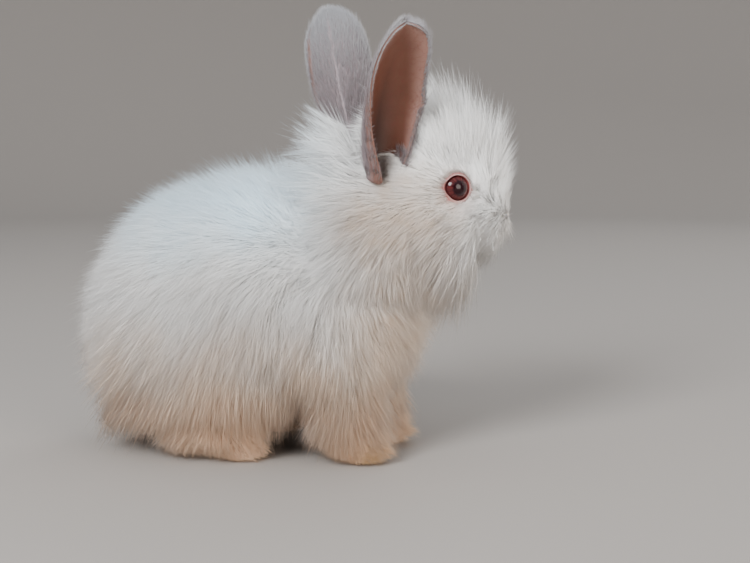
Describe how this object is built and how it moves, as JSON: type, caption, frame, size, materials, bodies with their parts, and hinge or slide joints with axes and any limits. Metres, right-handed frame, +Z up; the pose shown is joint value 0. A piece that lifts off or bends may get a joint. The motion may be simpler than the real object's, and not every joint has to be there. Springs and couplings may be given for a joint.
{
  "type": "young angora rabbit",
  "caption": "Still life-size model of a young long-haired white rabbit standing on its feet with upright ears and its head turned to its left.",
  "frame": {"origin": "on the floor, below the centre of the rabbit's bounding box", "axes": "+X towards the chest and nose, +Y towards the rabbit's left side, +Z up"},
  "size_m": [0.1868, 0.1012, 0.1848],
  "materials": {
    "head": "long white fur",
    "neck": "long white fur",
    "torso": "long white fur",
    "tail": "long white fur",
    "foreleg_left": "white fur",
    "foreleg_right": "white fur",
    "hindleg_left": "white fur",
    "hindleg_right": "white fur",
    "ear_left": "short-haired skin",
    "ear_right": "short-haired skin",
    "eye_left": "wet gloss",
    "eye_right": "wet gloss"
  },
  "bodies": {
    "root": {"head": "head", "neck": "neck", "torso": "torso", "tail": "tail", "foreleg_left": "foreleg_left", "foreleg_right": "foreleg_right", "hindleg_left": "hindleg_left", "hindleg_right": "hindleg_right", "ear_left": "ear_left", "ear_right": "ear_right", "eye_left": "eye_left", "eye_right": "eye_right"}
  },
  "joints": []
}
